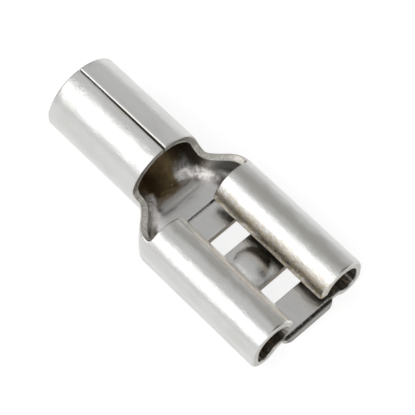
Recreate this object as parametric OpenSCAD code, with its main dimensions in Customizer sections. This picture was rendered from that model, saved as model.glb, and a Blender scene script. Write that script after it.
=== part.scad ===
// Female spade terminal for a 6.3 mm (0.250 in) tab, stamped and rolled from one
// sheet of tinned brass: a butt-seamed wire barrel, a flared open neck, and a
// receptacle whose two wings curl over a raised, windowed floor.
// +X points out of the mouth, +Z is the side the wings curl to.

/* [Sheet] */
// Thickness of the brass sheet
sheet_t = 0.4; // [0.3:0.05:0.5]

/* [Wire barrel] */
// Inside diameter of the wire barrel
bore_d = 3.7; // [3.3:0.1:4.3]
// Length of the wire barrel along its top
barrel_l = 6.35; // [5:0.05:8]
// Gap between the two meeting edges at the barrel's rear end
seam_gap_rear = 0.05; // [0.03:0.01:0.2]
// Gap between the two meeting edges at the barrel's neck end
seam_gap_front = 0.12; // [0.03:0.01:0.3]
// Depth to which the seam's outer edges are rounded away
seam_edge_depth = 0.13; // [0.05:0.01:0.2]

/* [Neck] */
// Length of the open neck, from the barrel's rim to the tab stop
neck_l = 2.4; // [2:0.1:3.5]
// Length that stays round before the side walls flare
round_l = 0.5; // [0.2:0.1:0.8]
// Length over which the neck's floor climbs out of the barrel
ramp_l = 1.3; // [1:0.1:1.8]
// Softness of the corner where the neck's floor runs into its walls
floor_blend = 0.45; // [0.2:0.05:0.6]
// Length over which the grooves beside the raised floor run out into the neck
groove_l = 1.05; // [0.6:0.05:1.3]
// Height of the open top edge above the resting plane
neck_edge_z = 2.25; // [1.9:0.05:2.5]
// Radius of the top edge where it turns up into the barrel's rim
rim_corner_r = 0.6; // [0.3:0.05:0.8]

/* [Receptacle] */
// Outside width across the two wings
width = 7.5; // [7:0.1:8.2]
// Outside height of the wings
height = 2.85; // [2.7:0.05:3.2]
// Length of the wings
wing_l = 7.8; // [7:0.1:9]
// Open slot between the two wing tips
slot_w = 1.86; // [1.2:0.1:2.4]
// Clearance from the floor up to the wing tips, less than the tab's thickness
grip_gap = 0.62; // [0.5:0.02:0.8]
// Outside radius of the lower corners, where the floor turns up into the walls
corner_out_r = 0.9; // [0.7:0.05:1]
// Radius of the lower corners cut on the wing tips
tip_corner_r = 0.3; // [0.1:0.05:0.4]
// Distance from the tab stop forward to the rear edges of the wings
stop_lead = 0.15; // [0.05:0.05:0.3]
// Height of the tab stop, where the neck's floor stands above the floor
stop_h = 0.2; // [0.1:0.05:0.25]

/* [Floor] */
// Height of the raised floor's underside above the resting plane
floor_rise = 0.45; // [0.35:0.05:0.6]
// Bend radius of the floor's shoulders, at the middle of the sheet
shoulder_r = 0.5; // [0.4:0.05:0.7]
// Slope of the floor's shoulders, in degrees
shoulder_slope = 45; // [35:1:50]
// Distance from the tab stop to the rear window
window_lead = 1.5; // [1:0.1:2]
// Length of each window along the terminal
window_l = 1.12; // [0.8:0.02:1.3]
// Width of each window across the terminal
window_w = 3.1; // [2.4:0.1:3.4]
// Corner radius of the windows
window_corner_r = 0.15; // [0.05:0.05:0.3]
// Length of the spring bar between the two windows
bar_l = 2.5; // [2.2:0.1:3]
// Base diameter of the detent dimple on the spring bar
dimple_d = 1.9; // [1.4:0.1:2.1]
// Height of the detent dimple above the floor
dimple_h = 0.25; // [0.15:0.05:0.35]

/* [Lip] */
// Length of the floor's lip ahead of the wings
lip_l = 0.25; // [0.1:0.05:0.6]
// Width of the lip at its front edge
lip_w = 3.1; // [2.4:0.1:3.4]
// How much wider each side of the lip is at its root
lip_flare = 0.15; // [0:0.05:0.2]
// Corner radius of the lip
lip_corner_r = 0.3; // [0.1:0.05:0.5]
// Length of the coined lead-in bevel along the lip's top
bevel_l = 0.34; // [0.2:0.02:0.6]
// Depth of the lead-in bevel at the lip's front edge
bevel_h = 0.22; // [0.1:0.02:0.3]

/* [Hidden] */
$fn = 96;

// Degrees of bend per facet of the receptacle's section
bend_step = 6;
// Facets along and across the neck's lofted sheet
neck_rows = 22;
neck_cols = 52;
// Part of a turn, each side of the bottom, that the neck shares with the barrel
neck_wrap = 135;
// The neck's sheet is this much thinner on each face, so its facets stay inside the
// true curves at both ends, and it runs this far into the barrel and the receptacle
seat = 0.01;
bite = 0.05;
// Overshoot of every cutter past the face it cuts
over = 0.5;
// Step used to take a surface's tangents
tangent_step = 0.002;

// Stations along X, from the barrel's rear end
stop_x = barrel_l + neck_l;
wing_x = stop_x + stop_lead;
mouth_x = wing_x + wing_l;
front_x = mouth_x + lip_l;
window1_x = stop_x + window_lead;
bar_x = window1_x + window_l;
window2_x = bar_x + bar_l;

// Heights
floor_top = floor_rise + sheet_t;
tip_z = floor_top + grip_gap;
barrel_z = bore_d / 2 + sheet_t;

// Bend radii and centres at the middle of the sheet
barrel_r = (bore_d + sheet_t) / 2;
corner_r = corner_out_r - sheet_t / 2;
corner_y = width / 2 - corner_out_r;
curl_out_r = (width - slot_w) / 4;
curl_r = curl_out_r - sheet_t / 2;
curl_z = height - curl_out_r;

// A section is a walk over the middle of the sheet, outwards from the centre
// line: a list of moves, each [length, turn in degrees]. A place on the walk is
// [y, z, heading].
function bend(r, turn) = [PI * r * abs(turn) / 180, turn];
function straight(l) = [l, 0];
function go(place, move, s) =
  move[1] == 0
  ? [place[0] + s * cos(place[2]), place[1] + s * sin(place[2]), place[2]]
  : let (
      r = move[0] * 180 / (PI * move[1]),
      heading = place[2] + move[1] * s / move[0]
    )
    [
      place[0] + r * (sin(heading) - sin(place[2])),
      place[1] - r * (cos(heading) - cos(place[2])),
      heading,
    ];
function along(walk, s, place, i = 0) =
  i == len(walk) - 1 || s <= walk[i][0]
  ? go(place, walk[i], s)
  : along(walk, s - walk[i][0], go(place, walk[i], walk[i][0]), i + 1);

// The receptacle's walk, for a floor whose underside is `rise` above the corners.
// The shoulders lean less where the two bends alone would climb further than that.
bends_r = shoulder_r + corner_r;
function lean(rise) = min(shoulder_slope, acos(1 - rise / bends_r));
function shoulder_l(rise) = (rise - bends_r * (1 - cos(lean(rise)))) / sin(lean(rise));
function floor_half(rise) =
  corner_y - bends_r * sin(lean(rise)) - shoulder_l(rise) * cos(lean(rise));
function channel_walk(rise) = [
  straight(floor_half(rise)),
  bend(shoulder_r, -lean(rise)),
  straight(shoulder_l(rise)),
  bend(corner_r, 90 + lean(rise)),
  straight(curl_z - corner_out_r),
];
// The curl ends at the tip: short of a half turn, or with a straight run down
curl_turn = 180 - asin(max(0, tip_z - curl_z) / curl_r);
tip_run = max(0, curl_z - tip_z);
receptacle_walk = concat(
  channel_walk(floor_rise), [bend(curl_r, curl_turn)],
  tip_run > 0 ? [straight(tip_run)] : []
);
receptacle_start = [0, floor_rise + sheet_t / 2, 0];

// Stops along a walk: the end of every move, and facets round every bend
function stops(walk, i = 0, s = 0) =
  i == len(walk) ? []
  : let (
      parts = walk[i][0] < seat ? 0 : walk[i][1] == 0 ? 1 : ceil(abs(walk[i][1]) / bend_step)
    )
    concat(
      [for (k = [1:1:parts]) s + walk[i][0] * k / parts],
      stops(walk, i + 1, s + walk[i][0])
    );

// The outline of a sheet of thickness t that follows a walk from its start
function side_points(walk, start, t) = [
  for (s = concat([0], stops(walk)))
  let (p = along(walk, s, start)) [p[0] - t / 2 * sin(p[2]), p[1] + t / 2 * cos(p[2])],
];
function reversed(list) = [for (i = [len(list) - 1:-1:0]) list[i]];
function mirrored(points) = [for (p = points) [-p[0], p[1]]];
// The first point of each side lies on the centre line, and is used once
function without_first(list) = [for (i = [1:len(list) - 1]) list[i]];

module receptacle_section() {
  inner = side_points(receptacle_walk, receptacle_start, sheet_t);
  outer = side_points(receptacle_walk, receptacle_start, -sheet_t);
  polygon(concat(
    outer, reversed(inner),
    mirrored(without_first(inner)), reversed(mirrored(without_first(outer)))
  ));
}

// The neck is a loft from the barrel's round section to the channel below the
// wings. Its section at x is a blend of the two. A flat floor climbs through it
// sooner than the walls flare, and runs into the walls with a soft corner. Near the
// wings its sides sink into the grooves beside the raised floor.
function ease(from, to, x) =
  let (f = min(1, max(0, (x - from) / (to - from)))) f * f * (3 - 2 * f);
// The greater of two heights, with a soft corner where they meet
function soft_max(a, b, blend) =
  blend <= 0 ? max(a, b)
  : let (h = max(blend - abs(a - b), 0) / blend) max(a, b) + h * h * blend / 4;
neck_rise = floor_rise + stop_h;
neck_walk = concat(channel_walk(neck_rise), [bend(curl_r, 90)]);
neck_start = [0, neck_rise + sheet_t / 2, 0];
barrel_walk = [bend(barrel_r, 180)];
barrel_start = [0, sheet_t / 2, 0];
// Half widths of the sheet at the neck's two ends, past its top edge
function run_to(walk, moves) = moves == 0 ? 0 : walk[moves - 1][0] + run_to(walk, moves - 1);
half_at_barrel = PI * barrel_r * neck_wrap / 180;
half_at_wings = run_to(neck_walk, len(neck_walk) - 1)
  + PI * curl_r * asin(min(1, (neck_edge_z + sheet_t / 2 - curl_z) / curl_r)) / 180;

function neck_middle(x, u) =
  let (
    side = u < 0 ? -1 : 1,
    c = along(barrel_walk, abs(u) * half_at_barrel, barrel_start),
    r = along(neck_walk, abs(u) * half_at_wings, neck_start),
    flare = ease(barrel_l + round_l, stop_x, x),
    climb = ease(barrel_l, barrel_l + ramp_l, x),
    groove = ease(stop_x - groove_l, stop_x - bite, x),
    low = min(r[1] - sheet_t / 2, neck_rise),
    floor_z = sheet_t / 2 + climb * (neck_rise + groove * (low - neck_rise)),
    blend = min(floor_blend, 0.7 * neck_rise * climb) * (1 - groove)
  )
  [
    x,
    side * (c[0] + (r[0] - c[0]) * flare),
    soft_max(c[1] + (r[1] - c[1]) * flare, floor_z, blend),
  ];
// The sheet's two faces stand half a thickness off the middle surface
function neck_normal(x, u) =
  let (
    e = tangent_step,
    n = cross(
      neck_middle(x + e, u) - neck_middle(x - e, u),
      neck_middle(x, u + e) - neck_middle(x, u - e)
    )
  ) n / norm(n);
function neck_face(x, offset) = [
  for (j = [0:neck_cols])
  let (u = 2 * j / neck_cols - 1) neck_middle(x, u) + offset * neck_normal(x, u),
];

module neck_sheet() {
  start_x = barrel_l - bite;
  rows = [for (i = [0:neck_rows]) start_x + (stop_x - start_x) * i / neck_rows];
  half = sheet_t / 2 - seat;
  n = neck_cols + 1;
  inner = [for (x = rows) each neck_face(x, half)];
  outer = [for (x = rows) each neck_face(x, -half)];
  base = len(inner);
  function quad(a, b, c, d) = [[a, b, c], [a, c, d]];
  faces = concat(
    [for (i = [0:neck_rows - 1]) for (j = [0:neck_cols - 1])
      each quad(i * n + j, i * n + j + 1, (i + 1) * n + j + 1, (i + 1) * n + j)],
    [for (i = [0:neck_rows - 1]) for (j = [0:neck_cols - 1])
      each quad(base + i * n + j, base + (i + 1) * n + j,
        base + (i + 1) * n + j + 1, base + i * n + j + 1)],
    [for (j = [0:neck_cols - 1])
      each quad(j, base + j, base + j + 1, j + 1)],
    [for (j = [0:neck_cols - 1], k = neck_rows * n)
      each quad(k + j, k + j + 1, base + k + j + 1, base + k + j)],
    [for (i = [0:neck_rows - 1])
      each quad(i * n, (i + 1) * n, base + (i + 1) * n, base + i * n)],
    [for (i = [0:neck_rows - 1], k = neck_cols)
      each quad(i * n + k, base + i * n + k, base + (i + 1) * n + k, (i + 1) * n + k)]
  );
  polyhedron(concat(inner, outer), faces);
}

// What the blank lacks above the neck, seen from the side: upright at the barrel's
// rim, rounded down to the open edge, and up again in a tight corner at the wings
module neck_opening() {
  notch_r = sheet_t / 2;
  top = height + barrel_z;
  function corner(x, r, from) = [
    for (a = [0:9:90])
    [x + r * cos(from + a), neck_edge_z + r + r * sin(from + a)],
  ];
  rotate([90, 0, 0])
    linear_extrude(height = width + 2 * over, center = true)
      polygon(concat(
        [[barrel_l - over, top], [barrel_l - over, neck_edge_z + rim_corner_r]],
        corner(barrel_l + rim_corner_r, rim_corner_r, 180),
        corner(wing_x - notch_r, notch_r, 270),
        [[wing_x, top]]
      ));
}

module wire_barrel() {
  difference() {
    translate([0, 0, barrel_z]) rotate([0, 90, 0]) cylinder(h = barrel_l, d = bore_d + 2 * sheet_t);
    translate([-over, 0, barrel_z]) rotate([0, 90, 0]) cylinder(h = barrel_l + 2 * over, d = bore_d);
    seam();
  }
}

// The two edges of the sheet meet along the top of the barrel. The gap opens
// towards the neck, and the outer edges fall away into it.
module seam() {
  top = 2 * barrel_z;
  translate([0, 0, barrel_z])
    linear_extrude(height = barrel_z + over)
      polygon([
        [-over, -seam_gap_rear / 2], [barrel_l + over, -seam_gap_front / 2],
        [barrel_l + over, seam_gap_front / 2], [-over, seam_gap_rear / 2],
      ]);
  translate([-over, 0, 0])
    rotate([90, 0, 90])
      linear_extrude(height = barrel_l + 2 * over)
        polygon([
          [0, top - seam_edge_depth],
          [seam_edge_depth + over, top + over],
          [-seam_edge_depth - over, top + over],
        ]);
}

module receptacle() {
  difference() {
    union() {
      difference() {
        translate([stop_x - bite, 0, 0])
          rotate([90, 0, 90])
            linear_extrude(height = mouth_x - stop_x + bite) receptacle_section();
        neck_opening();
        tip_setback();
        tip_corners();
      }
      lip();
      dimple();
    }
    lead_in();
    window(window1_x);
    window(window2_x);
    dimple_hollow();
  }
}

module window(x) {
  r = window_corner_r;
  l = window_l;
  w = window_w;
  translate([x, -w / 2, floor_rise - over]) {
    translate([r, 0, 0]) cube([l - 2 * r, w, sheet_t + 2 * over]);
    translate([0, r, 0]) cube([l, w - 2 * r, sheet_t + 2 * over]);
    for (cx = [r, l - r], cy = [r, w - r])
      translate([cx, cy, 0]) cylinder(h = sheet_t + 2 * over, r = r);
  }
}

// Inside the wings the tips start where the wings do, ahead of the tab stop
module tip_setback() {
  reach = width / 2 - curl_out_r;
  low = floor_top + grip_gap / 2;
  translate([stop_x - over, -reach, low])
    cube([over + stop_lead, 2 * reach, height - sheet_t - low]);
}

// The corners of the blank are rounded, which shows at both ends of each tip
module tip_corners() {
  r = tip_corner_r;
  reach = slot_w / 2 + 2 * sheet_t;
  for (end = [[wing_x, 1], [mouth_x, -1]])
    translate([end[0] + end[1] * r, 0, tip_z + r])
      rotate([90, 0, 0])
        linear_extrude(height = 2 * reach, center = true)
          difference() {
            translate([end[1] > 0 ? -r - over : 0, -r - grip_gap / 2])
              square([r + over, r + grip_gap / 2]);
            circle(r);
          }
}

// The floor runs on past the wings, and its top is coined down as a lead-in. The
// lip is a little wider at its root than at its rounded front corners.
module lip() {
  r = lip_corner_r;
  root_half = lip_w / 2 + lip_flare;
  side = concat(
    [[mouth_x - sheet_t, root_half], [mouth_x, root_half]],
    [for (a = [90:-15:0]) [front_x - r + r * cos(a), lip_w / 2 - r + r * sin(a)]]
  );
  translate([0, 0, floor_rise])
    linear_extrude(height = sheet_t)
      polygon(concat(side, [for (p = reversed(side)) [p[0], -p[1]]]));
}

module lead_in() {
  high = floor_top + grip_gap / 2;
  rotate([90, 0, 0])
    linear_extrude(height = lip_w + 2 * lip_flare, center = true)
      polygon([
        [front_x - bevel_l, floor_top],
        [front_x + bevel_l, floor_top - 2 * bevel_h],
        [front_x + bevel_l, high],
        [front_x - bevel_l, high],
      ]);
}

// A spherical dimple pressed up from below, which drops into the hole in the tab
dimple_r = (pow(dimple_d / 2, 2) + pow(dimple_h, 2)) / (2 * dimple_h);
dimple_x = bar_x + bar_l / 2;
dimple_z = floor_top + dimple_h - dimple_r;

module dimple() {
  intersection() {
    translate([dimple_x, 0, dimple_z]) sphere(dimple_r);
    translate([dimple_x - dimple_d, -dimple_d, floor_top - sheet_t / 2])
      cube([2 * dimple_d, 2 * dimple_d, dimple_h + sheet_t]);
  }
}

module dimple_hollow() {
  translate([dimple_x, 0, dimple_z]) sphere(dimple_r - sheet_t);
}

module spade_terminal() {
  color([0.80, 0.79, 0.76])
    translate([-front_x / 2, 0, 0]) {
      wire_barrel();
      difference() {
        neck_sheet();
        neck_opening();
      }
      receptacle();
    }
}

spade_terminal();
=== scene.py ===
"""A push-on spade terminal, made as the real one is: a flat blank of tinned brass
is cut to its outline, then coined, pressed and rolled to shape."""

import math
import types

import bmesh
import bpy
import numpy as np
from mathutils import Matrix, Vector


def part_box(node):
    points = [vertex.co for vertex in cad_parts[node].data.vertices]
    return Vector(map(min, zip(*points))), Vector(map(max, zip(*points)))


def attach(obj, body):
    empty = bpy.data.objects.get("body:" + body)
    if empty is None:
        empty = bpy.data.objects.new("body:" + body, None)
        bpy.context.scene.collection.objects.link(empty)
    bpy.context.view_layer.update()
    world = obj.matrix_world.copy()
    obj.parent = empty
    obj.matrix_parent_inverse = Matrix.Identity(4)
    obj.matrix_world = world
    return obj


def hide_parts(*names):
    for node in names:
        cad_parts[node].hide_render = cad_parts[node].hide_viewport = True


bl_info = {
    "name": "Spade Terminal",
    "version": (1, 0, 0),
    "blender": (4, 5, 0),
    "location": "View3D > Sidebar > Terminal",
    "description": "Makes a rolled spade terminal, its tin plate and a plain studio",
    "category": "Add Mesh",
}

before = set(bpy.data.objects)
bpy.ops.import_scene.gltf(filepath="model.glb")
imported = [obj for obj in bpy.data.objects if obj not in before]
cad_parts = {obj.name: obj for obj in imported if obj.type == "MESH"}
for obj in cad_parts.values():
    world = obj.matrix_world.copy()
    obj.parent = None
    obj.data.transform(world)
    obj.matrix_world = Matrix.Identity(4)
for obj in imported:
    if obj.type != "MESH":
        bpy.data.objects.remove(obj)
LOW, HIGH = (np.array(corner) * 1000 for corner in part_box("spade_terminal"))
MM = 0.001


# ---------------------------------------------------------------- sizes, in mm


def size(name, default, description):
    return bpy.props.FloatProperty(
        name=name, description=description, default=default, min=0.0, precision=3
    )


def colour(name, default, description):
    return bpy.props.FloatVectorProperty(
        name=name,
        description=description,
        default=default,
        min=0.0,
        max=1.0,
        size=3,
        subtype="COLOR",
    )


class BlankSizes(bpy.types.PropertyGroup):
    """The blank and the tools that form it, in millimetres."""

    sheet: size("Sheet", 0.4, "Thickness of the sheet")
    bore: size("Bore", 3.7, "Inside diameter of the wire barrel")
    barrel: size("Barrel", 6.35, "Length of the wire barrel")
    seam_rear: size("Seam, rear", 0.05, "Gap of the butt seam at the barrel's rear end")
    seam_front: size("Seam, front", 0.09, "Gap of the butt seam at the neck")
    neck: size("Neck", 2.4, "Length from the barrel's rim to the tab stop")
    round_part: size("Round part", 0.5, "Length of the neck before it flares")
    ramp: size("Ramp", 1.15, "Length over which the neck's floor climbs")
    neck_edge: size("Neck edge", 2.25, "Height of the neck's open top edge")
    rim_corner: size("Rim corner", 0.6, "Radius from the rim down to the neck's edge")
    wing_corner: size("Wing corner", 0.2, "Radius from the neck's edge up to the wings")
    width: size("Width", HIGH[1] - LOW[1], "Width over the wings")
    height: size("Height", 2.85, "Height of the wings")
    wings: size("Wings", 7.8, "Length of the wings")
    slot: size("Slot", 1.86, "Gap between the wing tips")
    grip: size("Grip", 0.62, "Clearance under the wing tips")
    corner: size("Corner", 0.9, "Outside radius of the lower corners")
    tip_corner: size("Tip corner", 0.3, "Corner radius of the wing tips")
    lead: size("Lead", 0.15, "From the tab stop to the wings")
    stop: size("Tab stop", 0.2, "Height of the tab stop")
    rise: size("Rise", 0.45, "Height of the floor's underside")
    shoulder: size("Shoulder", 0.5, "Bend radius of the floor's shoulders")
    window_lead: size("Window lead", 1.5, "From the tab stop to the rear window")
    window: size("Window", 1.12, "Length of a window")
    window_half: size("Window half", 1.55, "Half the width of a window")
    window_corner: size("Window corner", 0.15, "Corner radius of the windows")
    bar: size("Bar", 2.5, "Length of the spring bar between the windows")
    bar_roll: size("Bar roll", 0.11, "How far the bar's front edge is rolled down")
    dimple: size("Dimple", 0.95, "Base radius of the dimple")
    dimple_rise: size("Dimple rise", 0.25, "Height of the dimple")
    lip: size("Lip", 0.25, "Length of the lip")
    lip_half: size("Lip half", 1.55, "Half the width of the lip")
    lip_flare: size("Lip flare", 0.15, "How much wider each side of the lip is at its root")
    lip_corner: size("Lip corner", 0.3, "Corner radius of the lip")
    bevel: size("Lip nose", 0.4, "Length of the lip's coined nose")
    bevel_drop: size("Lip nose drop", 0.26, "Depth of the lip's coined nose")


class TinColours(bpy.types.PropertyGroup):
    """The tin plate, its tints, the faces where the punch cut through it, and the
    highlights and shade painted onto them.
    """

    tin: colour("Tin", (0.605, 0.603, 0.595), "Bright tin")
    patch: colour("Patches", (0.57, 0.565, 0.55), "Tin in its warmer patches")
    # painted reflection: dark bands along both wings
    rolled: colour("Dark bands", (0.40, 0.395, 0.365), "Dark bands of painted reflection along the wings")
    floor: colour("Floor", (0.50, 0.497, 0.485), "Tin on the floor inside")
    # painted highlight: a pale line along the near wing's tip
    painted_tip_highlight: colour("Painted tip highlight", (0.90, 0.87, 0.82), "Painted highlight along the near wing's tip")
    # brass tint along the tips that also carries painted shade, most on the far wing
    warm: colour("Warm tips", (0.46, 0.39, 0.27), "Brass along the tips, with painted shade")
    # painted shade along the tips' lower edge
    under_tip: colour("Under the tip", (0.22, 0.18, 0.12), "Painted shade on the tip's lower edge")
    bore_brown: colour("Bore brown", (0.60, 0.46, 0.26), "Light part of the brown inside the barrel")
    bore_brown_dark: colour("Stain, dark", (0.40, 0.30, 0.16), "Dark part of the brown inside the barrel")
    # painted shade beside the barrel's walls and at its mouth
    bore_shade: colour("Bore shade", (0.13, 0.105, 0.07), "Painted shade beside the barrel's walls and mouth")
    # painted shade on the neck's upper walls
    painted_neck_shade: colour("Painted neck shade", (0.13, 0.10, 0.075), "Painted shade on the neck's upper walls")
    settled: colour("Ramp end", (0.46, 0.45, 0.43), "Dull line where the ramp ends")
    # painted highlight on the lower walls of the neck
    painted_neck_highlight: colour("Painted neck highlight", (0.95, 0.91, 0.88), "Painted highlight on the neck's walls")
    # painted shade on the lip's coined nose
    nose: colour("Lip nose", (0.34, 0.33, 0.31), "Painted shade on the lip's coined nose")
    # painted shade in the crease where the lip's nose starts
    crease: colour("Crease", (0.07, 0.066, 0.06), "Painted shade in the crease where the lip's nose starts")
    # painted highlight streaks inside the curls, and the painted shade between them
    line: colour("Curl streaks", (0.80, 0.70, 0.54), "Painted highlight streaks inside the wings")
    line_dark: colour("Between lines", (0.19, 0.145, 0.085), "Painted shade between them")
    sheared: colour("Sheared", (0.57, 0.56, 0.53), "Sheared face, upper part")
    torn: colour("Torn", (0.46, 0.445, 0.40), "Sheared face, lower part")
    speck: colour("Specks", (0.40, 0.38, 0.34), "Grain of the sheared faces")
    # painted highlight and painted shade on the tips' cut faces
    tip_face_highlight: colour("Tip face", (0.92, 0.85, 0.77), "Painted highlight on the tip's cut face, lower part")
    tip_face_shade: colour("Tip face, shaded", (0.10, 0.08, 0.055), "Painted shade on the tip's cut face, upper part")
    # painted shade on the windows' cut faces
    opening: colour("Windows", (0.17, 0.14, 0.10), "Painted shade on the windows' cut faces")
    # painted shade on the lip's cut face
    lip_face: colour("Lip face", (0.17, 0.165, 0.155), "Painted shade on the lip's cut face")


class StudioLooks(bpy.types.PropertyGroup):
    """The floor that the terminal lies on."""

    floor: colour("Floor", (0.27, 0.27, 0.27), "The floor's own colour")
    glow: bpy.props.FloatProperty(
        name="Glow", description="How much the floor glows", default=0.76, min=0.0
    )


# ------------------------------------------------------------ the bending walk


def bend(r, turn):
    return (math.pi * r * abs(turn) / 180, turn)


def straight(length):
    return (length, 0)


def go(place, move, s):
    y, z, heading = place
    if move[1] == 0:
        a = math.radians(heading)
        return (y + s * math.cos(a), z + s * math.sin(a), heading)
    r = move[0] * 180 / (math.pi * move[1])
    new = heading + move[1] * s / move[0]
    a, b = math.radians(heading), math.radians(new)
    return (y + r * (math.sin(b) - math.sin(a)), z - r * (math.cos(b) - math.cos(a)), new)


def along(walk, s, place):
    for move in walk[:-1]:
        if s <= move[0]:
            return go(place, move, s)
        place, s = go(place, move, move[0]), s - move[0]
    return go(place, walk[-1], s)


def run_of(walk):
    return sum(move[0] for move in walk)


def ease(low, high, x):
    f = min(1.0, max(0.0, (x - low) / (high - low)))
    return f * f * (3 - 2 * f)


def soft_max(a, b, blend):
    """The greater of two heights, with a soft corner where they meet."""
    if blend <= 0:
        return max(a, b)
    h = max(blend - abs(a - b), 0.0) / blend
    return max(a, b) + h * h * blend / 4


def fillet(r, d):
    """How far a corner of radius r has still to come out, d along from its start."""
    d = min(max(d, 0.0), r)
    return r - math.sqrt(max(0.0, r * r - (r - d) ** 2))


SHOULDER_LEAN = 45.0  # degrees, the slope between the floor and the lower corners
EDGE_TURN = 135.0  # degrees round the barrel at which the neck's open edge lies
GROOVE_START, GROOVE_END = 1.05, 0.05  # before the stop: the floor's corners sharpen
FLOOR_BLEND, BLEND_SHARE = 0.45, 0.7  # softness of those corners, and on the ramp
STEP_HALF = 0.016  # half the length of the tab stop's step
PROBE = 0.002  # between the points that a normal is taken from
SIDE_PULL = 0.3  # beyond a window, over which its corners still bend the lines


class Tools:
    """The press tools: where each point of the flat blank ends up."""

    def __init__(self, p):
        self.p = p
        t = p.sheet
        self.x_rim = p.barrel
        self.x_stop = p.barrel + p.neck
        self.x_wing = self.x_stop + p.lead
        self.x_mouth = self.x_wing + p.wings
        self.x_front = self.x_mouth + p.lip
        self.x_win1 = self.x_stop + p.window_lead
        self.x_bar = self.x_win1 + p.window
        self.x_win2 = self.x_bar + p.bar
        self.x_end2 = self.x_win2 + p.window
        self.x_dimple = self.x_bar + p.bar / 2
        self.shift = -self.x_front / 2

        self.barrel_r = (p.bore + t) / 2
        corner_r = p.corner - t / 2
        corner_y = p.width / 2 - p.corner
        self.curl_out = (p.width - p.slot) / 4
        self.curl_r = self.curl_out - t / 2
        self.curl_z = p.height - self.curl_out
        self.curl_y = p.width / 2 - self.curl_out
        floor_top = p.rise + t
        turn = 180 - math.degrees(
            math.asin(max(0.0, floor_top + p.grip - self.curl_z) / self.curl_r)
        )
        both = p.shoulder + corner_r
        lean = math.radians(SHOULDER_LEAN)
        c, s = math.cos(lean), math.sin(lean)

        def channel(rise):
            slope = (rise - both * (1 - c)) / s
            return [
                straight(corner_y - both * s - slope * c),
                bend(p.shoulder, -SHOULDER_LEAN),
                straight(slope),
                bend(corner_r, 90 + SHOULDER_LEAN),
                straight(self.curl_z - p.corner),
            ]

        low, high = channel(p.rise), channel(p.rise + p.stop)
        self.low_run, self.high_run = run_of(low), run_of(high)
        self.wing_walk = low + [bend(self.curl_r, turn)]
        self.wing_start = (0.0, p.rise + t / 2, 0.0)
        self.neck_walk = high + [bend(self.curl_r, 90)]
        self.neck_start = (0.0, p.rise + p.stop + t / 2, 0.0)
        self.round_walk = [bend(self.barrel_r, 180)]
        self.round_start = (0.0, t / 2, 0.0)
        self.tip_run = run_of(self.wing_walk)
        # one mm across the blank at the wings is this much round the barrel
        over_curl = min(1.0, (p.neck_edge + t / 2 - self.curl_z) / self.curl_r)
        self.squeeze = (math.pi * self.barrel_r * EDGE_TURN / 180) / (
            self.high_run + self.curl_r * math.asin(over_curl)
        )

    def at(self, x):
        """Where x along the blank lies in the scene, in metres."""
        return (x + self.shift) * MM

    # the middle of the sheet, for a point x along and s >= 0 across the blank
    def in_barrel(self, x, s):
        return along(self.round_walk, s * self.squeeze, self.round_start)[:2]

    def in_neck(self, x, s):
        p = self.p
        if s <= self.low_run:
            s = s * self.high_run / self.low_run
        else:
            s = s + self.high_run - self.low_run
        c = along(self.round_walk, s * self.squeeze, self.round_start)
        r = along(self.neck_walk, s, self.neck_start)
        flare = ease(self.x_rim + p.round_part, self.x_stop, x)
        climb = ease(self.x_rim, self.x_rim + p.ramp, x)
        groove = ease(self.x_stop - GROOVE_START, self.x_stop - GROOVE_END, x)
        top = p.rise + p.stop
        low = min(r[1] - p.sheet / 2, top)
        floor = p.sheet / 2 + climb * (top + groove * (low - top))
        blend = min(FLOOR_BLEND, BLEND_SHARE * top * climb) * (1 - groove)
        z = c[1] + (r[1] - c[1]) * flare
        return (c[0] + (r[0] - c[0]) * flare, soft_max(z, floor, blend))

    def in_wings(self, x, s):
        return along(self.wing_walk, s, self.wing_start)[:2]

    def middle(self, x, s):
        if x <= self.x_rim:
            return self.in_barrel(x, s)
        step = ease(self.x_stop - STEP_HALF, self.x_stop + STEP_HALF, x)
        if step <= 0:
            return self.in_neck(x, s)
        if step >= 1:
            return self.in_wings(x, s)
        a, b = self.in_neck(x, s), self.in_wings(x, s)
        return (a[0] + (b[0] - a[0]) * step, a[1] + (b[1] - a[1]) * step)

    def normal(self, x, s):
        """Out of the sheet's upper face, without the tab stop's step."""
        if x <= self.x_rim:
            at, low, high = self.in_barrel, x, x
        elif x < self.x_stop:
            at, low, high = self.in_neck, x - PROBE, x + PROBE
        else:
            at, low, high = self.in_wings, x, x
        a, b = at(x, max(0.0, s - PROBE)), at(x, s + PROBE)
        across = Vector((0.0, b[0] - a[0], b[1] - a[1]))
        along_x = Vector((1.0, 0.0, 0.0))
        if high > low:
            a, b = at(low, s), at(high, s)
            along_x = Vector((high - low, b[0] - a[0], b[1] - a[1]))
        return along_x.cross(across).normalized()

    def run_at_height(self, x, z):
        """How far across the blank the sheet's middle reaches height z, by halving."""
        low, high = 0.6 * self.low_run, self.low_run + 1.5 * self.curl_r
        for _ in range(40):
            mid = (low + high) / 2
            if self.middle(x, mid)[1] < z:
                low = mid
            else:
                high = mid
        return (low + high) / 2

    # the blank's outline, as distances across from its centre line
    def window_half(self, x):
        p = self.p
        if x > self.x_mouth:
            left = self.x_front - x
            root = min(1.0, left / (p.lip - p.lip_corner / 4))
            return p.lip_half + p.lip_flare * root - fillet(p.lip_corner, left)
        half = p.window_half
        for a, b in ((self.x_win1, self.x_bar), (self.x_win2, self.x_end2)):
            if a - SIDE_PULL < x < b + SIDE_PULL:
                if x < a or x > b:
                    gap = a - x if x < a else x - b
                    half -= p.window_corner * (1 - ease(0.0, SIDE_PULL, gap))
                else:
                    half -= fillet(p.window_corner, min(x - a, b - x))
        return half

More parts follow.
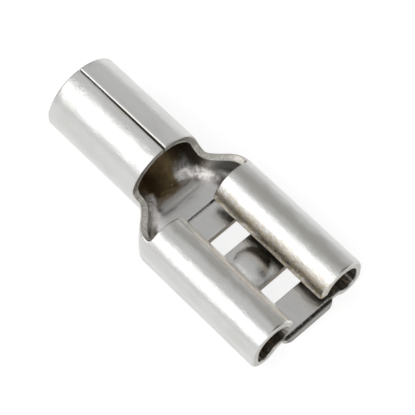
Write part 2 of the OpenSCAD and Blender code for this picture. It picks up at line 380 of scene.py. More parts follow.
    def neck_edge(self, x):
        p = self.p
        z = p.neck_edge
        if x <= self.x_rim + p.rim_corner:
            z += fillet(p.rim_corner, x - self.x_rim)
        corner = self.x_wing - p.wing_corner
        if x > corner:
            z += fillet(p.wing_corner, self.x_wing - x)
        return self.run_at_height(min(max(x, self.x_rim + 1e-6), self.x_wing), z)

    def outer(self, x):
        p = self.p
        if x <= self.x_rim:
            gap = p.seam_rear + (p.seam_front - p.seam_rear) * x / self.x_rim
            return (math.pi * self.barrel_r - gap / 2) / self.squeeze
        x = min(max(x, self.x_wing), self.x_mouth)
        cut = fillet(p.tip_corner, min(x - self.x_wing, self.x_mouth - x))
        return self.tip_run - cut


# ----------------------------------------------------------------- the blank

NEAR = (0.0, 0.012, 0.045, 0.1)  # lines beside every cut edge, for its rounding
STOP_LINES = (0.005, 0.01, 0.016, 0.03)  # lines to both sides of the tab stop
LEAST_GAP = 0.0045  # between two cross lines
ACROSS = (20, 54, 40)  # cells from the middle to the floor's side, wall and tip
CLOSE = 0.05  # cells narrower than this draw the lines beside an edge together

# (upper, under) radius of the cut edges, rounded as the punch leaves them
PLAIN_CUT = (0.03, 0.06)
SEAM_CUT = (0.03, 0.11)
MOUTH_CUT = (0.05, 0.14)
LIP_CUT = (0.02, 0.05)

WALL_LINES = (0.012, 0.07)  # lines on a cut face, from its upper and lower edge
CUT_FADE = 0.02  # from a cut edge, over which its look fades out
CREASE_SIDE = 0.3  # in from the lip's sides, before its nose cuts fully into the floor
BALL_EDGE = 0.3  # beyond the dimple, how far points are tried
BALL_BLEND = 0.05  # softness of the dimple's foot
ROLL_LENGTH, ROLL_SIDE = 0.45, 0.35  # the bar's rolled edge, and its fade at the ends
UV_MM = 10  # mm of the sheet to one unit of its map


def spread(low, high, step, near_low=True, near_high=True):
    """Stations from low to high, close together beside an end that is a cut edge."""
    first = list(NEAR) if near_low else [0.0]
    last = list(NEAR) if near_high else [0.0]
    a, b = low + first[-1], high - last[-1]
    n = max(1, round((b - a) / step))
    return (
        [low + d for d in first]
        + [a + (b - a) * k / n for k in range(1, n)]
        + [high - d for d in reversed(last)]
    )


def arc_lines(at, r, way, steps):
    """Lines across a rounded corner that starts square to the edge."""
    return [
        at + way * r * (1 - math.cos(math.pi / 2 * k / steps)) for k in range(steps + 1)
    ]


def stations(t):
    """Where the blank's cross lines lie along it."""
    p = t.p
    x = spread(0.0, t.x_rim, 0.5)
    x += arc_lines(t.x_rim, p.rim_corner, 1, 10)
    x += spread(t.x_rim + p.rim_corner, t.x_stop - 0.05, 0.08, False, False)
    x += [t.x_stop - d for d in STOP_LINES]
    x += [t.x_stop] + [t.x_stop + d for d in STOP_LINES]
    x += arc_lines(t.x_wing, p.wing_corner, -1, 6)
    x += arc_lines(t.x_wing, p.tip_corner, 1, 7)
    x += spread(t.x_wing + p.tip_corner, t.x_win1, 0.25, False, True)
    for a, b in ((t.x_win1, t.x_bar), (t.x_win2, t.x_end2)):
        x += arc_lines(a, p.window_corner, 1, 4) + arc_lines(b, p.window_corner, -1, 4)
        x += spread(a + p.window_corner, b - p.window_corner, 0.3, False, False)
    x += spread(t.x_bar, t.x_win2, 0.075)
    x += spread(t.x_end2, t.x_mouth - p.tip_corner, 0.3, True, False)
    x += arc_lines(t.x_mouth, p.tip_corner, -1, 7)
    x += [t.x_front - p.bevel - 0.02] + arc_lines(t.x_front, p.bevel, -1, 14)
    x += arc_lines(t.x_front, p.lip_corner, -1, 6)
    x.sort()
    kept = [x[0]]
    must = (0.0, t.x_rim, t.x_wing, t.x_win1, t.x_bar, t.x_win2, t.x_end2)
    must += (t.x_mouth, t.x_front)
    for v in x[1:]:
        if v - kept[-1] > LEAST_GAP:
            kept.append(v)
        elif any(abs(v - m) < 1e-9 for m in must):
            kept[-1] = v
    return kept


def cut_blank(t):
    """The flat blank: a grid drawn to the outline, with its openings left out."""
    rows = stations(t)
    lines = [0]
    for count in ACROSS:
        lines.append(lines[-1] + count)
    half = lines[-1]

    def across(x):
        stops = [0.0, t.window_half(x), t.neck_edge(x), t.outer(x)]
        out = [0.0]
        for k, n in enumerate(ACROSS):
            a, b = stops[k], stops[k + 1]
            d = min(1.0, (b - a) / (CLOSE * n))
            near_a = [v * d for v in NEAR[1:]] if k else []
            near_b = [v * d for v in NEAR[1:]]
            inner = n - 1 - len(near_a) - len(near_b)
            la = a + (near_a[-1] if near_a else 0.0)
            lb = b - near_b[-1]
            out += [a + v for v in near_a]
            out += [la + (lb - la) * (m + 1) / (inner + 1) for m in range(inner)]
            out += [b - v for v in reversed(near_b)]
            out.append(b)
        return out

    bm = bmesh.new()
    nx, ns = len(rows) - 1, 2 * half
    bmesh.ops.create_grid(bm, x_segments=nx, y_segments=ns, size=1.0)
    table = [across(x) for x in rows]
    places = {}
    for v in bm.verts:
        i = round((v.co.x + 1) / 2 * nx)
        j = round((v.co.y + 1) / 2 * ns) - half
        s = table[i][abs(j)]
        places[v] = (i, j)
        v.co = (rows[i], s if j >= 0 else -s, 0.0)

    def removed(face):
        c = face.calc_center_median()
        j = max(abs(places[v][1]) for v in face.verts)
        if t.x_rim < c.x < t.x_wing and j > lines[2]:
            return True
        if c.x > t.x_mouth and j > lines[1]:
            return True
        in_window = t.x_win1 < c.x < t.x_bar or t.x_win2 < c.x < t.x_end2
        return in_window and j <= lines[1]

    gone = [f for f in bm.faces if removed(f)]
    bmesh.ops.delete(bm, geom=gone, context="FACES")
    return bm


def edge_distances(bm, t):
    """Each point's distance from the nearest cut edge, and that edge's radii."""
    cuts, radii = [], []
    for e in bm.edges:
        if not e.is_boundary:
            continue
        a, b = e.verts[0].co, e.verts[1].co
        m = (a + b) / 2
        cuts.append((a.x, a.y, b.x, b.y))
        if m.x < t.x_rim and abs(m.y) > t.neck_edge(t.x_rim):
            radii.append(SEAM_CUT)
        elif abs(m.x - t.x_mouth) < 0.01:
            radii.append(MOUTH_CUT)
        elif m.x > t.x_mouth:
            radii.append(LIP_CUT)
        else:
            radii.append(PLAIN_CUT)
    cuts, radii = np.array(cuts), np.array(radii)
    at = np.array([v.co[:2] for v in bm.verts])
    near = np.zeros(len(at))
    which = np.zeros(len(at), int)
    a, d = cuts[:, :2], cuts[:, 2:] - cuts[:, :2]
    dd = (d * d).sum(1)
    batch = 500  # points at a time, to save memory
    for k in range(0, len(at), batch):
        q = at[k : k + batch, None, :] - a[None]
        f = np.clip((q * d).sum(2) / dd, 0, 1)
        r = np.linalg.norm(q - f[..., None] * d, axis=2)
        which[k : k + batch] = r.argmin(1)
        near[k : k + batch] = r.min(1)
    return near, radii[which]


def give_thickness(bm, t):
    """A slab of the sheet's thickness, its cut edges rounded as a press leaves them."""
    p = t.p
    near, radii = edge_distances(bm, t)
    facts = {}
    for v, d, r in zip(bm.verts, near, radii):
        facts[(round(v.co.x, 5), round(v.co.y, 5))] = (d, r)
    bmesh.ops.solidify(bm, geom=bm.faces[:], thickness=p.sheet)
    zs = [v.co.z for v in bm.verts]
    low, high = min(zs), max(zs)
    walls = [e for e in bm.edges if abs(e.verts[0].co.z - e.verts[1].co.z) > p.sheet / 2]
    bmesh.ops.subdivide_edges(bm, edges=walls, cuts=4, use_grid_fill=False)
    depth = bm.verts.layers.float.new("depth")
    wall = bm.verts.layers.float.new("cut_edge")
    first, second = WALL_LINES
    for v in bm.verts:
        f = (v.co.z - low) / (high - low)
        d, (upper, under) = facts[(round(v.co.x, 5), round(v.co.y, 5))]
        top = p.sheet / 2 - fillet(upper, d)
        bottom = -p.sheet / 2 + fillet(under, d)
        levels = (bottom, bottom + first, bottom + second, top - second, top - first, top)
        w = levels[round(f * 5)]
        v.co.z = w
        v[depth] = w / p.sheet + 0.5
        v[wall] = max(0.0, 1 - d / CUT_FADE)


def coin_lip(bm, t):
    """Coin the lip's top down in a round nose, as a lead-in for the tab."""
    p = t.p
    start = t.x_front - p.bevel
    r = (p.bevel**2 + p.bevel_drop**2) / (2 * p.bevel_drop)
    for v in bm.verts:
        past, side = v.co.x - start, p.lip_half + p.lip_flare - abs(v.co.y)
        if past > 0 and side > -1e-4:
            drop = r - math.sqrt(r * r - min(past, p.bevel) ** 2)
            if v.co.x < t.x_mouth:
                drop *= ease(0.0, CREASE_SIDE, side)
            high = (v.co.z + p.sheet / 2) / p.sheet
            v.co.z -= drop * max(0.0, min(1.0, high))


def press(bm, t):
    """Fold every point of the slab up into the terminal."""
    p = t.p
    uv = bm.loops.layers.uv.new("Sheet")
    for f in bm.faces:
        for loop in f.loops:
            loop[uv].uv = (loop.vert.co.x / UV_MM, loop.vert.co.y / UV_MM)
    ball = (p.dimple**2 + p.dimple_rise**2) / (2 * p.dimple_rise)
    for v in bm.verts:
        x, s, w = v.co
        side = -1.0 if s < 0 else 1.0
        y, z = t.middle(x, abs(s))
        n = t.normal(x, abs(s))
        place = Vector((x, y, z)) + n * w
        r = math.hypot(x - t.x_dimple, s)
        if r < p.dimple + BALL_EDGE:
            cap = math.sqrt(ball * ball - r * r) - (ball - p.dimple_rise)
            place.z += soft_max(cap, 0.0, BALL_BLEND)
        left = (t.x_win2 - x) / ROLL_LENGTH
        if 0 <= left < 1 and abs(s) < p.window_half:
            inside = ease(0.0, ROLL_SIDE, p.window_half - abs(s))
            place.z -= p.bar_roll * (1 - left) ** 2 * inside
        v.co = (t.at(place.x), side * place.y * MM, place.z * MM)


# ----------------------------------------------------------------- materials


class Nodes:
    """Short words for the nodes of one material or world."""

    def __init__(self, tree):
        self.tree = tree

    def put(self, value, socket):
        if isinstance(value, bpy.types.NodeSocket):
            self.tree.links.new(value, socket)
        else:
            socket.default_value = value

    def new(self, kind, out=0, settings=(), **inputs):
        """A new node's output, with its inputs set or linked by name."""
        n = self.tree.nodes.new("ShaderNode" + kind)
        for name, value in dict(settings).items():
            setattr(n, name, value)
        for name, value in inputs.items():
            self.put(value, n.inputs[name.replace("_", " ")])
        return n.outputs[out]

    def sum(self, op, a, b=0.0, c=0.0):
        n = self.tree.nodes.new("ShaderNodeMath")
        n.operation = op
        for value, socket in zip((a, b, c), n.inputs):
            self.put(value, socket)
        return n.outputs[0]

    def fade(self, value, low, high, to_low=0.0, to_high=1.0):
        """From to_low to to_high, softly, while value goes from low to high."""
        n = self.tree.nodes.new("ShaderNodeMapRange")
        n.interpolation_type = "SMOOTHSTEP"
        for v, key in (
            (value, "Value"),
            (low, "From Min"),
            (high, "From Max"),
            (to_low, "To Min"),
            (to_high, "To Max"),
        ):
            self.put(v, n.inputs[key])
        return n.outputs[0]

    def all_of(self, mask, *others):
        """Where the first mask and all the others hold."""
        for other in others:
            mask = self.sum("MULTIPLY", mask, other)
        return mask

    def blend(self, factor, a, b):
        """Between two colours."""
        n = self.tree.nodes.new("ShaderNodeMix")
        n.data_type = "RGBA"
        self.put(factor, n.inputs[0])
        for v, socket in ((a, n.inputs[6]), (b, n.inputs[7])):
            self.put(v if isinstance(v, bpy.types.NodeSocket) else (*v, 1.0), socket)
        return n.outputs[2]

    def cloud(self, place, scale, detail=2.0, rough=0.5):
        """Noise between 0 and 1."""
        return self.new(
            "TexNoise", Vector=place, Scale=scale, Detail=detail, Roughness=rough
        )


def tin_plate(t, colours):
    """Bright tin over brass, dull and warm where the punch sheared it."""
    mat = bpy.data.materials.new("tinned_brass")
    mat.use_nodes = True
    n = Nodes(mat.node_tree)
    bsdf = mat.node_tree.nodes["Principled BSDF"]
    m = masks(n, t)
    tin = tin_colour(n, m, colours)
    sheared = sheared_colour(n, m, colours)
    n.put(n.blend(m.cut, tin, sheared), bsdf.inputs["Base Color"])
    n.put(metal(n, m), bsdf.inputs["Metallic"])
    n.put(roughness(n, m), bsdf.inputs["Roughness"])
    n.put(relief(n, m), bsdf.inputs["Normal"])
    return mat


def masks(n, t):
    """Where on the terminal each part of its finish and of its painted light and shade
    lies, from 0 to 1.
    """
    m = types.SimpleNamespace()
    m.place = n.new("TexCoord", out=3)
    sheet = n.new("UVMap", settings={"uv_map": "Sheet"})
    m.x, m.y, m.z = (n.new("SeparateXYZ", out=k, Vector=m.place) for k in range(3))
    m.along_x, m.across = (n.new("SeparateXYZ", out=k, Vector=sheet) for k in range(2))
    m.cut = n.new("Attribute", out=2, settings={"attribute_name": "cut_edge"})
    m.depth = n.new("Attribute", out=2, settings={"attribute_name": "depth"})
    m.beside = n.sum("ABSOLUTE", m.y)
    m.off_centre = n.sum("ABSOLUTE", m.across)
    m.inner = n.fade(m.depth, 0.6, 0.9)
    m.outer = n.sum("SUBTRACT", 1.0, m.inner)
    m.rim_x = t.at(t.x_rim)

    # clouds that more than one part of the finish uses
    m.grains = n.cloud(m.place, 9000.0, 3.0, 0.7)
    m.patches = n.fade(n.cloud(m.place, 420.0, 4.0, 0.6), 0.42, 0.66)
    stretched = n.new(
        "CombineXYZ",
        X=n.sum("MULTIPLY", m.along_x, 6.0),
        Y=n.sum("MULTIPLY", m.across, 60.0),
    )
    m.streaks = n.cloud(stretched, 1.0, 3.0, 0.6)
    sway = n.cloud(m.place, 1500.0, 3.0, 0.6)
    m.uneven = n.sum("MULTIPLY_ADD", sway, 1.2 * MM, -0.6 * MM)

    mouth_masks(n, m)
    wing_masks(n, m, t)
    floor_masks(n, m, t)
    neck_masks(n, m, t)
    lip_masks(n, m, t)
    return m


def mouth_masks(n, m):
    """Brown inside the barrel's mouth, which comes further forward on the floor."""
    wall_side = n.fade(m.beside, 0.45 * MM, 1.1 * MM)
    brown_x = n.sum("MULTIPLY_ADD", wall_side, -1.1 * MM, m.rim_x + 0.5 * MM)
    from_brown = n.sum("ADD", n.sum("SUBTRACT", m.x, brown_x), m.uneven)
    m.bore = n.all_of(n.fade(from_brown, 0.4 * MM, -0.3 * MM), m.inner)
    round_end = n.fade(m.x, m.rim_x + 1.4 * MM, m.rim_x + 0.6 * MM)
    m.worked = n.all_of(round_end, wall_side, m.inner)


def wing_masks(n, m, t):
    """Brass-warm tips with painted shade, painted highlight streaks and painted shade
    inside the curls, dark bands of painted reflection outside and a painted highlight along
    the near tip.
    """
    in_wings = n.fade(m.x, t.at(t.x_stop - 0.3), t.at(t.x_wing))
    # the far wing takes the painted shade of the tips in full, the near wing a quarter of
    # it
    far_wing = n.fade(m.y, -0.4 * MM, 0.4 * MM, 0.25, 1.0)
    tip = t.tip_run
    tips = n.fade(m.off_centre, (tip - 1.5) / UV_MM, (tip - 0.3) / UV_MM)
    tips = n.all_of(tips, in_wings, far_wing)
    flecks = n.fade(n.cloud(m.place, 5200.0, 3.0, 0.7), 0.42, 0.58, 0.25, 1.0)
    m.warm = n.all_of(tips, flecks)
    tip_edge = n.fade(m.off_centre, (tip - 0.24) / UV_MM, (tip - 0.08) / UV_MM)
    m.tip_edge = n.all_of(tip_edge, in_wings)
    # painted shade along the tips' lower edge, mostly on the far wing
    m.under_tip = n.all_of(m.tip_edge, far_wing, 0.35)
    # inside of the curls, which takes painted shade and painted highlight streaks
    curl = n.fade(m.off_centre, (t.low_run - 1.2) / UV_MM, (t.low_run + 0.2) / UV_MM)
    m.curl = n.all_of(curl, in_wings, m.inner)

    # painted reflection: two dark bands along the outside of the curls, at fixed turns
    # round them
    sway = n.cloud(m.place, 700.0, 3.0, 0.6)
    sway = n.sum("MULTIPLY_ADD", sway, 0.6 * MM, -0.3 * MM)
    near_y = (t.curl_y - 0.31 * t.curl_out) * MM
    far_y = (t.curl_y + 0.12 * t.curl_out) * MM
    near_mark = n.sum("ABSOLUTE", n.sum("ADD", m.y, near_y))
    far_mark = n.sum("ABSOLUTE", n.sum("SUBTRACT", m.y, far_y))
    near_mark = n.fade(n.sum("ADD", near_mark, sway), 0.38 * MM, 0.08 * MM)
    far_mark = n.fade(n.sum("ADD", far_mark, sway), 0.55 * MM, 0.10 * MM)
    marks = n.sum("MAXIMUM", near_mark, far_mark)
    m.rolled = n.all_of(marks, in_wings, m.outer)
    # painted highlight along the near wing's tip
    near_tip = n.fade(m.y, -1.50 * MM, -1.35 * MM)
    near_tip = n.all_of(near_tip, n.fade(m.y, -0.4 * MM, -0.6 * MM))
    m.painted_tip_highlight = n.all_of(near_tip, in_wings, m.outer)


def floor_masks(n, m, t):
    """The flat floor, and the surroundings of its windows."""
    flat = n.fade(m.off_centre, 1.75 / UV_MM, 1.45 / UV_MM)
    past_rim = n.fade(m.x, m.rim_x + 0.5 * MM, m.rim_x + 1.0 * MM)
    m.floor = n.all_of(flat, m.inner, past_rim)
    # where the windows' cut faces take painted shade
    after = n.fade(m.x, t.at(t.x_win1 - 0.2), t.at(t.x_win1 - 0.1))
    before = n.fade(m.x, t.at(t.x_end2 + 0.2), t.at(t.x_end2 + 0.1))
    half = t.p.window_half
    near_floor = n.fade(m.off_centre, (half + 0.8) / UV_MM, (half + 0.4) / UV_MM)
    m.openings = n.all_of(after, before, near_floor)


def neck_masks(n, m, t):
    """Painted shade on the upper walls, a painted highlight at their foot and the end of
    the ramp.
    """
    in_neck = n.fade(m.x, t.at(t.x_stop + 0.1), t.at(t.x_stop - 0.4))
    m.in_neck = n.all_of(in_neck, m.inner)
    # painted highlight along the foot of the neck's walls
    past_rim = n.sum("SUBTRACT", m.x, m.rim_x)
    foot = n.sum("MULTIPLY_ADD", past_rim, 0.6, 1.04 * MM)
    foot = n.sum("ABSOLUTE", n.sum("SUBTRACT", m.beside, foot))
    foot = n.sum("ADD", foot, n.sum("MULTIPLY", m.uneven, 0.35))
    m.painted_neck_highlight = n.all_of(
        n.fade(foot, 0.42 * MM, 0.14 * MM),
        n.fade(m.x, m.rim_x - 0.3 * MM, m.rim_x + 0.1 * MM),
        n.fade(m.x, m.rim_x + 2.1 * MM, m.rim_x + 1.4 * MM),
        m.inner,
        n.fade(n.cloud(m.place, 4200.0, 4.0, 0.7), 0.40, 0.56, 0.25, 1.0),
    )
    m.settled = n.all_of(
        n.fade(m.x, m.rim_x + 0.7 * MM, m.rim_x + 0.9 * MM),
        n.fade(m.x, m.rim_x + 1.4 * MM, m.rim_x + 1.2 * MM),
        n.fade(m.beside, 1.4 * MM, 1.0 * MM),
        m.inner,
    )
    # painted shade on the upper walls of the neck
    high = n.sum("ADD", m.z, n.sum("MULTIPLY", m.uneven, 0.5))
    high = n.fade(high, 1.15 * MM, 1.6 * MM)
    rear = n.fade(m.x, m.rim_x + 1.7 * MM, m.rim_x + 0.8 * MM)
    m.painted_neck_shade = n.all_of(high, rear, m.inner, 0.95)


def lip_masks(n, m, t):
    """Painted shade on the lip's coined nose, in the crease where it starts and on the
    lip's cut face.
    """
    nose_x = t.at(t.x_front - t.p.bevel)
    # painted shade on the lip's coined nose
    m.nose = n.all_of(n.fade(m.x, nose_x + 0.1 * MM, nose_x + 0.2 * MM), m.inner)
    # painted shade in the crease where the nose starts
    crease = n.sum("ABSOLUTE", n.sum("SUBTRACT", m.x, nose_x + 0.2 * MM))
    crease = n.all_of(n.fade(crease, 0.1 * MM, 0.06 * MM), m.inner)
    m.crease = n.all_of(crease, n.fade(m.grains, 0.66, 0.56))
    # painted shade on the lip's cut face
    m.lip_face = n.fade(m.x, t.at(t.x_mouth + 0.1), t.at(t.x_mouth + 0.2))


def tin_colour(n, m, colours):
    """The tin plate, with its tints, painted highlights and painted shade, one over the
    other.
    """
    tin = n.blend(m.patches, colours.tin, colours.patch)
    # painted reflection: the dark bands along the wings
    tin = n.blend(n.sum("MULTIPLY", m.rolled, 0.9), tin, colours.rolled)
    tin = n.blend(m.floor, tin, colours.floor)
    # painted highlight along the near wing's tip
    tin = n.blend(m.painted_tip_highlight, tin, colours.painted_tip_highlight)
    # brass along the tips, partly painted shade
    tin = n.blend(m.warm, tin, colours.warm)
    bore_brown = n.fade(n.cloud(m.place, 900.0, 4.0, 0.6), 0.35, 0.7)
    brown = n.blend(bore_brown, colours.bore_brown, colours.bore_brown_dark)
    # painted shade beside the barrel's walls and at its mouth
    at_sides = n.fade(m.beside, 0.9 * MM, 1.6 * MM)
    in_front = n.fade(m.x, m.rim_x - 0.2 * MM, m.rim_x + 0.3 * MM, 0.0, 0.75)
    brown = n.blend(n.sum("MAXIMUM", at_sides, in_front), brown, colours.bore_shade)
    # painted shade along the tips' lower edge
    tin = n.blend(m.under_tip, tin, colours.under_tip)
    tin = n.blend(m.bore, tin, brown)
    # painted highlight streaks over painted shade inside the curls
    lines = n.blend(n.fade(m.streaks, 0.56, 0.66), colours.line_dark, colours.line)
    tin = n.blend(m.curl, tin, lines)
    # painted shade on the neck's upper walls
    tin = n.blend(m.painted_neck_shade, tin, colours.painted_neck_shade)
    tin = n.blend(m.settled, tin, colours.settled)
    # painted highlight on the neck's lower walls
    tin = n.blend(m.painted_neck_highlight, tin, colours.painted_neck_highlight)
    # painted shade on the lip's coined nose
    tin = n.blend(m.nose, tin, colours.nose)
    # painted shade in the crease where the lip's nose starts
    return n.blend(m.crease, tin, colours.crease)


def sheared_colour(n, m, colours):
    """The faces that the punch cut, smooth above and torn below, with a painted highlight
    and painted shade on the tips' faces and painted shade on the windows' and the lip's
    faces.
    """
    sheared = n.blend(n.fade(m.depth, 0.2, 0.55), colours.torn, colours.sheared)
    sheared = n.blend(n.fade(m.grains, 0.36, 0.62), colours.speck, sheared)
    # painted highlight on the lower part of the tips' cut faces, painted shade on the upper
    # part
    tip_face = n.blend(n.fade(m.depth, 0.45, 0.55), colours.tip_face_highlight, colours.tip_face_shade)
    sheared = n.blend(m.tip_edge, sheared, tip_face)
    # painted shade on the windows' cut faces
    sheared = n.blend(m.openings, sheared, colours.opening)
    # painted shade on the lip's cut face
    return n.blend(m.lip_face, sheared, colours.lip_face)


def metal(n, m):
    """Less of a mirror where painted light has to show: the painted highlights in the neck,
    along the near tip and on the lower part of the tips' cut faces, and the dull line where
    the ramp ends.
    """
    tip_face = n.all_of(m.cut, m.tip_edge, n.fade(m.depth, 0.55, 0.45, 0.0, 0.9))
    chalky = n.sum("MAXIMUM", n.sum("MULTIPLY", m.painted_neck_highlight, 0.75), tip_face)
    chalky = n.sum("MAXIMUM", chalky, n.sum("MULTIPLY", m.settled, 0.8))
    chalky = n.sum("MAXIMUM", chalky, n.sum("MULTIPLY", m.painted_tip_highlight, 0.7))
    return n.sum("SUBTRACT", 1.0, chalky)


def roughness(n, m):
    """Smooth tin, duller in its patches, the neck, the curls and the cut faces."""
    dull = n.fade(m.patches, 0.0, 1.0, 0.16, 0.23)
    for mask, more in (
        (m.warm, 0.10),
        (m.in_neck, 0.14),
        (m.worked, 0.14),
        (m.painted_neck_highlight, 0.20),
        (m.curl, 0.10),
        (m.cut, 0.22),
    ):
        dull = n.sum("ADD", dull, n.sum("MULTIPLY", mask, more))
    return dull


def relief(n, m):
    """Waves left by rolling, dents, drawing lines, grain, pits and shear marks."""
    ridges = n.new(
        "CombineXYZ",
        X=n.sum("MULTIPLY", m.along_x, 140.0),
        Y=n.sum("MULTIPLY", m.across, 140.0),
        Z=m.depth,
    )
    pits = n.sum("MAXIMUM", n.sum("MULTIPLY", m.worked, 0.6), m.painted_neck_highlight)
    bump = None
    for strength, high, shape in (
        (1.0, 0.030 * MM, n.cloud(m.place, 1100.0)),
        (1.0, 0.009 * MM, n.cloud(m.place, 2700.0)),
        (1.0, 0.004 * MM, m.streaks),
        (1.0, 0.014 * MM, m.grains),
        (pits, 0.045 * MM, n.cloud(m.place, 5500.0, 2.0, 0.6)),
        (m.cut, 0.012 * MM, n.cloud(ridges, 1.0, 2.0, 0.6)),
    ):
        below = {} if bump is None else {"Normal": bump}
        bump = n.new("Bump", Strength=strength, Distance=high, Height=shape, **below)
    return bump


# what the tin mirrors, as light by its turn round the terminal's long axis:
# 0 is level on the far wing's side, 0.5 straight up and 1 level on the near side
ROOM_LIGHT = (
    (0.00, 0.73),
    (0.12, 0.77),
    (0.25, 0.77),
    (0.32, 0.67),
    (0.36, 0.76),
    (0.42, 0.87),
    (0.53, 0.79),
    (0.57, 0.92),
    (0.62, 2.00),
    (0.83, 2.20),
    (0.89, 1.10),
    (1.00, 0.85),
)
WALL_LIGHT = (0.10, 0.07, 0.04)
CARD_LIGHT = (0.05, 0.045, 0.04)
STRENGTH = 3.0  # the lights above are divided by this, because a ramp ends at 1


def studio_walls(tree):
    """A grey room with a softbox above the near side, a dark brown wall low behind
    the wire's end and a black card high in front of the mouth, on the far side."""
    n = Nodes(tree)
    way = n.new("TexCoord", out=0)
    x, y, z = (n.new("SeparateXYZ", out=k, Vector=way) for k in range(3))
    turn = n.sum("DIVIDE", n.sum("ARCTAN2", z, y), math.pi)
    ramp = tree.nodes.new("ShaderNodeValToRGB")
    n.put(turn, ramp.inputs[0])
    elements = ramp.color_ramp.elements
    while len(elements) < len(ROOM_LIGHT):
        elements.new(0.5)
    for element, (at, light) in zip(elements, ROOM_LIGHT):
        element.position = at
        element.color = (light / STRENGTH, light / STRENGTH, light / STRENGTH, 1)
    wall = n.all_of(n.fade(x, -0.55, -0.85), n.fade(z, 0.45, 0.2))
    room = n.blend(wall, ramp.outputs[0], [v / STRENGTH for v in WALL_LIGHT])
    card = n.all_of(n.fade(x, 0.1, 0.4), n.fade(y, 0.18, 0.29), n.fade(z, 0.4, 0.52))
    room = n.blend(card, room, [v / STRENGTH for v in CARD_LIGHT])
    back = tree.nodes["Background"]
    n.put(room, back.inputs["Color"])
    back.inputs["Strength"].default_value = STRENGTH


# ----------------------------------------------------------------- operators


def finish_mesh(bm, name):
    mesh = bpy.data.meshes.new(name)
    bmesh.ops.recalc_face_normals(bm, faces=bm.faces[:])
    if bm.calc_volume(signed=True) < 0:
        bmesh.ops.reverse_faces(bm, faces=bm.faces[:])
    for f in bm.faces:
        f.smooth = True
    bm.to_mesh(mesh)
    bm.free()
    obj = bpy.data.objects.new(name, mesh)
    bpy.context.scene.collection.objects.link(obj)
    return obj


class TERMINAL_OT_sheet(bpy.types.Operator):
    """Cut, coin and fold the terminal from its blank"""

    bl_idname = "terminal.sheet"
    bl_label = "Terminal"

    def execute(self, context):
        scene = context.scene
        tools = Tools(scene.terminal_blank)
        bm = cut_blank(tools)
        give_thickness(bm, tools)
        coin_lip(bm, tools)
        press(bm, tools)
        obj = finish_mesh(bm, "spade_terminal_sheet")
        obj.data.materials.append(tin_plate(tools, scene.terminal_tin))
        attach(obj, "root")
        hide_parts("spade_terminal")
        print("triangles", sum(len(f.vertices) - 2 for f in obj.data.polygons))
        return {"FINISHED"}


# the camera, in degrees and metres
CAMERA_TURN, CAMERA_RISE, CAMERA_ROLL = 47.07, 61.63, 0.09
CAMERA_AWAY = 0.1094
CAMERA_SENSOR, CAMERA_LENS = 36.0, 188.2
CAMERA_SHIFT = (0.036, -0.0016)
CAMERA_CLIP = (0.001, 10.0)
CAMERA_AIM = (8.4, 1.2)  # mm: along the terminal from its rear end, and up
FLOOR_HALF = 1.5  # metres
FLOOR_ROUGHNESS = 0.9


def make_floor(scene, looks):
    bm = bmesh.new()
    bmesh.ops.create_grid(bm, x_segments=1, y_segments=1, size=FLOOR_HALF)
    mesh = bpy.data.meshes.new("floor")
    bm.to_mesh(mesh)
    bm.free()
    mat = bpy.data.materials.new("floor")
    mat.use_nodes = True
    bsdf = mat.node_tree.nodes["Principled BSDF"]
    bsdf.inputs["Base Color"].default_value = (*looks.floor, 1)
    bsdf.inputs["Roughness"].default_value = FLOOR_ROUGHNESS
    bsdf.inputs["Emission Color"].default_value = (1, 1, 1, 1)
    bsdf.inputs["Emission Strength"].default_value = looks.glow
    mesh.materials.append(mat)
    floor = bpy.data.objects.new("floor", mesh)
    scene.collection.objects.link(floor)
    return floor


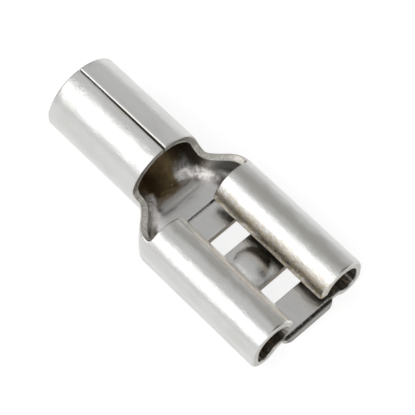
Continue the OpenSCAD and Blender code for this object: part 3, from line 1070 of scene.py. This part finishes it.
def make_camera(scene):
    turn, rise = math.radians(CAMERA_TURN), math.radians(CAMERA_RISE)
    roll = math.radians(CAMERA_ROLL)
    level = math.cos(rise)
    back = Vector((math.sin(turn) * level, -math.cos(turn) * level, math.sin(rise)))
    data = bpy.data.cameras.new("camera")
    data.sensor_width = CAMERA_SENSOR
    data.lens = CAMERA_LENS
    data.shift_x, data.shift_y = CAMERA_SHIFT
    data.clip_start, data.clip_end = CAMERA_CLIP
    cam = bpy.data.objects.new("camera", data)
    cam.rotation_mode = "QUATERNION"
    look = (-back).to_track_quat("-Z", "Y")
    cam.rotation_quaternion = look @ Matrix.Rotation(-roll, 3, "Z").to_quaternion()
    along_x, up = CAMERA_AIM
    cam.location = Vector((along_x + LOW[0], 0.0, up)) * MM + back * CAMERA_AWAY
    scene.collection.objects.link(cam)
    return cam


class TERMINAL_OT_studio(bpy.types.Operator):
    """A pale floor, the walls that the tin mirrors and the camera"""

    bl_idname = "terminal.studio"
    bl_label = "Studio"

    def execute(self, context):
        scene = context.scene
        floor = make_floor(scene, scene.terminal_studio)
        world = bpy.data.worlds.new("studio")
        scene.world = world
        world.use_nodes = True
        studio_walls(world.node_tree)
        scene.camera = make_camera(scene)
        scene.view_settings.view_transform = "Standard"
        return {"FINISHED"}


class TERMINAL_PT_panel(bpy.types.Panel):
    """The terminal's sizes and colours, and what makes it"""

    bl_idname = "TERMINAL_PT_panel"
    bl_label = "Spade terminal"
    bl_space_type = "VIEW_3D"
    bl_region_type = "UI"
    bl_category = "Terminal"

    def draw(self, context):
        layout = self.layout
        scene = context.scene
        for group in (scene.terminal_blank, scene.terminal_tin, scene.terminal_studio):
            for key in type(group).__annotations__:
                layout.prop(group, key)
        layout.operator(TERMINAL_OT_sheet.bl_idname)
        layout.operator(TERMINAL_OT_studio.bl_idname)


CLASSES = (
    BlankSizes,
    TinColours,
    StudioLooks,
    TERMINAL_OT_sheet,
    TERMINAL_OT_studio,
    TERMINAL_PT_panel,
)


def register():
    for cls in CLASSES:
        bpy.utils.register_class(cls)
    bpy.types.Scene.terminal_blank = bpy.props.PointerProperty(type=BlankSizes)
    bpy.types.Scene.terminal_tin = bpy.props.PointerProperty(type=TinColours)
    bpy.types.Scene.terminal_studio = bpy.props.PointerProperty(type=StudioLooks)


def unregister():
    del bpy.types.Scene.terminal_studio
    del bpy.types.Scene.terminal_tin
    del bpy.types.Scene.terminal_blank
    for cls in reversed(CLASSES):
        bpy.utils.unregister_class(cls)


def main():
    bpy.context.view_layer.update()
    register()
    bpy.ops.terminal.sheet()
    bpy.ops.terminal.studio()


if __name__ == "__main__":
    main()
